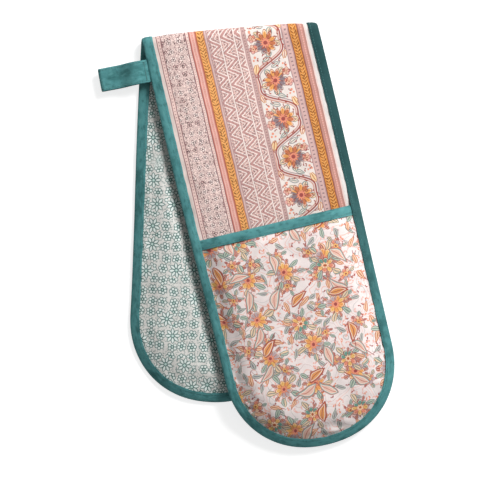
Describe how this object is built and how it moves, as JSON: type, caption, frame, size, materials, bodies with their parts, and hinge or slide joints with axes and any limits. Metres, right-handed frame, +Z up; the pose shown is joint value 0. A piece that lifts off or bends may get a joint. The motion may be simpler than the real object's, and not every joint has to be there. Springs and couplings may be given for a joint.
{
  "type": "double oven glove",
  "caption": "Double oven glove: a quilted strip with a hand pocket at each end, tape bound edges and a hanging loop, folded over and lying flat.",
  "frame": {"origin": "on the table, under the middle of the box round the folded glove", "axes": "+Z up from the table, +Y from the pockets' round ends towards the fold, +X along the fold line, with the front half fanned towards +X and the rear half towards -X"},
  "size_m": [0.2819, 0.4488, 0.033],
  "materials": {
    "banded_print": "printed cotton, matt, in stripes of pink, orange and white",
    "pocket_print": "printed cotton, matt, small flowers and leaves in orange, teal and maroon",
    "lining_print": "printed cotton, matt, off-white with small outlined flowers",
    "teal_tape": "brushed cotton tape, soft sheen",
    "wadding": "needled cotton wadding, matt",
    "thread": "spun sewing thread, matt"
  },
  "bodies": {
    "rear_pocket": {"rear_pocket_panel": "pocket_print", "rear_pocket_wadding": "wadding", "rear_pocket_lining": "lining_print", "rear_mouth_binding": "teal_tape"},
    "rear_half": {"rear_outer_cover": "banded_print", "rear_wadding": "wadding", "rear_lining": "lining_print", "rear_edge_binding": "teal_tape", "rear_pocket_margin": "pocket_print", "fold_outer_cover": "banded_print", "fold_wadding": "wadding", "fold_lining": "lining_print", "fold_binding_left": "teal_tape", "fold_binding_right": "teal_tape"},
    "front_half": {"front_outer_cover": "banded_print", "front_wadding": "wadding", "front_lining": "lining_print", "front_edge_binding": "teal_tape", "front_pocket_margin": "pocket_print"},
    "front_pocket": {"front_pocket_panel": "pocket_print", "front_pocket_wadding": "wadding", "front_pocket_lining": "lining_print", "front_mouth_binding": "teal_tape"},
    "hanging_loop_swing": {"hanging_loop": "teal_tape", "loop_bar_tack": "thread"}
  },
  "joints": [
    {"name": "rear_pocket_opening", "type": "hinge", "parent": "rear_pocket", "child": "rear_half", "pos_m": [-0.0558, -0.15754, 0.003], "axis": [0.9898, -0.1426, 0], "range_deg": [0, 8]},
    {"name": "fold_hinge", "type": "hinge", "parent": "rear_half", "child": "front_half", "pos_m": [-0.00064, 0.2153, 0.00905], "axis": [-1, 0, 0], "range_deg": [0, 174], "deforming": ["fold_outer_cover", "fold_wadding", "fold_lining", "fold_binding_left", "fold_binding_right"]},
    {"name": "front_pocket_opening", "type": "hinge", "parent": "front_half", "child": "front_pocket", "pos_m": [0.06252, -0.21297, 0.026], "axis": [0.9898, 0.1426, 0], "range_deg": [0, 8]},
    {"name": "loop_swing", "type": "hinge", "parent": "front_half", "child": "hanging_loop_swing", "pos_m": [-0.09033, 0.18651, 0.01745], "axis": [-0.1426, 0.9898, 0], "range_deg": [0, 100]}
  ]
}
